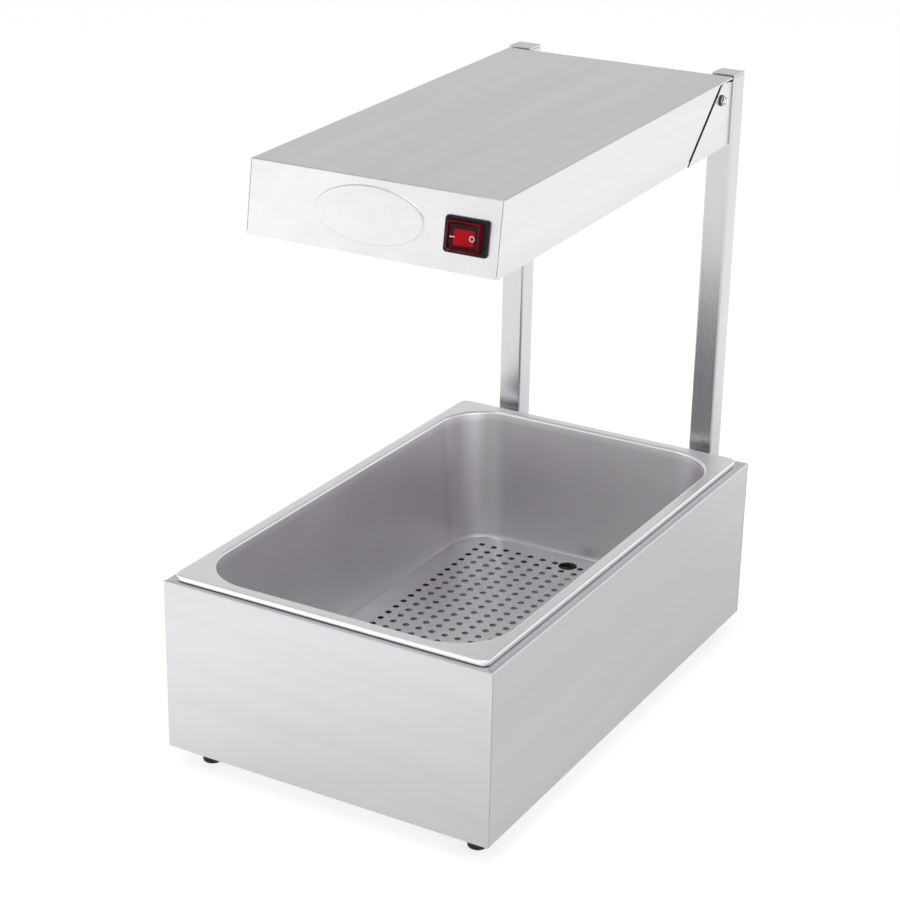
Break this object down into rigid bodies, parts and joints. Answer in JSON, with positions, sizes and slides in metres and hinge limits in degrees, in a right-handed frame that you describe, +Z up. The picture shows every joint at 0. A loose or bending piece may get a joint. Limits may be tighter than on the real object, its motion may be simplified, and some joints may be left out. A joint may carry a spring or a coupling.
{
  "type": "chip warmer",
  "caption": "Countertop chip warmer: a deep steel pan with a perforated drainer plate lifts out of a steel cabinet, under a heated hood carried on rear posts.",
  "frame": {"origin": "on the table, under the middle of the whole part", "axes": "+Z up, -Y towards the user and the hood's front, +X to the user's right"},
  "size_m": [0.34, 0.5772, 0.59],
  "materials": {
    "sheet_steel": "brushed",
    "hood_steel": "brushed",
    "blackened_steel": "black, satin",
    "tube_steel": "brushed",
    "drawn_steel": "drawn, satin",
    "perforated_steel": "satin",
    "fixings": "bright",
    "reflector_metal": "bright",
    "foot_rubber": "matt",
    "black_nylon": "satin",
    "rocker_red": "gloss",
    "boot_silicone": "clear red silicone",
    "lamp_ceramic": "matt",
    "quartz": "clear",
    "wire_sleeve": "matt"
  },
  "bodies": {
    "stand": {"cabinet_front": "sheet_steel", "cabinet_back": "sheet_steel", "cabinet_side_left": "sheet_steel", "cabinet_side_right": "sheet_steel", "cabinet_base": "sheet_steel", "foot_front_left": "foot_rubber", "foot_front_right": "foot_rubber", "foot_rear_left": "foot_rubber", "foot_rear_right": "foot_rubber", "foot_screw_front_left": "fixings", "foot_screw_front_right": "fixings", "foot_screw_rear_left": "fixings", "foot_screw_rear_right": "fixings", "post_left": "tube_steel", "post_right": "tube_steel", "post_cap_left": "tube_steel", "post_cap_right": "tube_steel", "post_pad_left": "tube_steel", "post_pad_right": "tube_steel", "post_backing_left": "tube_steel", "post_backing_right": "tube_steel", "post_bolt_lower_left": "fixings", "post_bolt_lower_right": "fixings", "post_bolt_upper_left": "fixings", "post_bolt_upper_right": "fixings", "hood_bracket": "hood_steel", "bracket_screw_lower_left": "fixings", "bracket_screw_lower_right": "fixings", "bracket_screw_upper_left": "fixings", "bracket_screw_upper_right": "fixings", "pivot_bolt_left": "fixings", "pivot_bolt_right": "fixings", "pivot_washer_left": "fixings", "pivot_washer_right": "fixings", "pivot_cap_nut_left": "fixings", "pivot_cap_nut_right": "fixings"},
    "pan": {"gn_pan": "drawn_steel"},
    "drainer": {"drainer_plate": "perforated_steel"},
    "hood": {"hood_shell": "hood_steel", "pivot_ear_left": "blackened_steel", "pivot_ear_right": "blackened_steel", "hood_rear_panel": "hood_steel", "reflector": "reflector_metal", "reflector_end_front": "reflector_metal", "reflector_end_rear": "reflector_metal", "heat_lamp_left": "quartz", "heat_lamp_right": "quartz", "lamp_holder_front_left": "lamp_ceramic", "lamp_holder_front_right": "lamp_ceramic", "lamp_holder_rear_left": "lamp_ceramic", "lamp_holder_rear_right": "lamp_ceramic", "lamp_guard": "fixings", "terminal_block": "lamp_ceramic", "cable_gland": "black_nylon", "cable_gland_nut": "black_nylon", "live_wire": "wire_sleeve", "switched_wire": "wire_sleeve", "switch_housing": "black_nylon", "splash_boot": "boot_silicone"},
    "switch_paddle": {"rocker": "rocker_red"}
  },
  "joints": [
    {"name": "hood_tilt", "type": "hinge", "parent": "stand", "child": "hood", "pos_m": [0, 0.2355, 0.5695], "axis": [-1, 0, 0], "range_deg": [0, 8]},
    {"name": "pan_lift", "type": "slide", "parent": "stand", "child": "pan", "axis": [0, 0, 1], "range_m": [0, 0.16]},
    {"name": "drainer_lift", "type": "slide", "parent": "pan", "child": "drainer", "axis": [0, 0, 1], "range_m": [0, 0.15]},
    {"name": "switch_rocker", "type": "hinge", "parent": "hood", "child": "switch_paddle", "pos_m": [0.093, -0.20985, 0.53784], "axis": [0, -0.1444, -0.9895], "range_deg": [0, 20]}
  ]
}
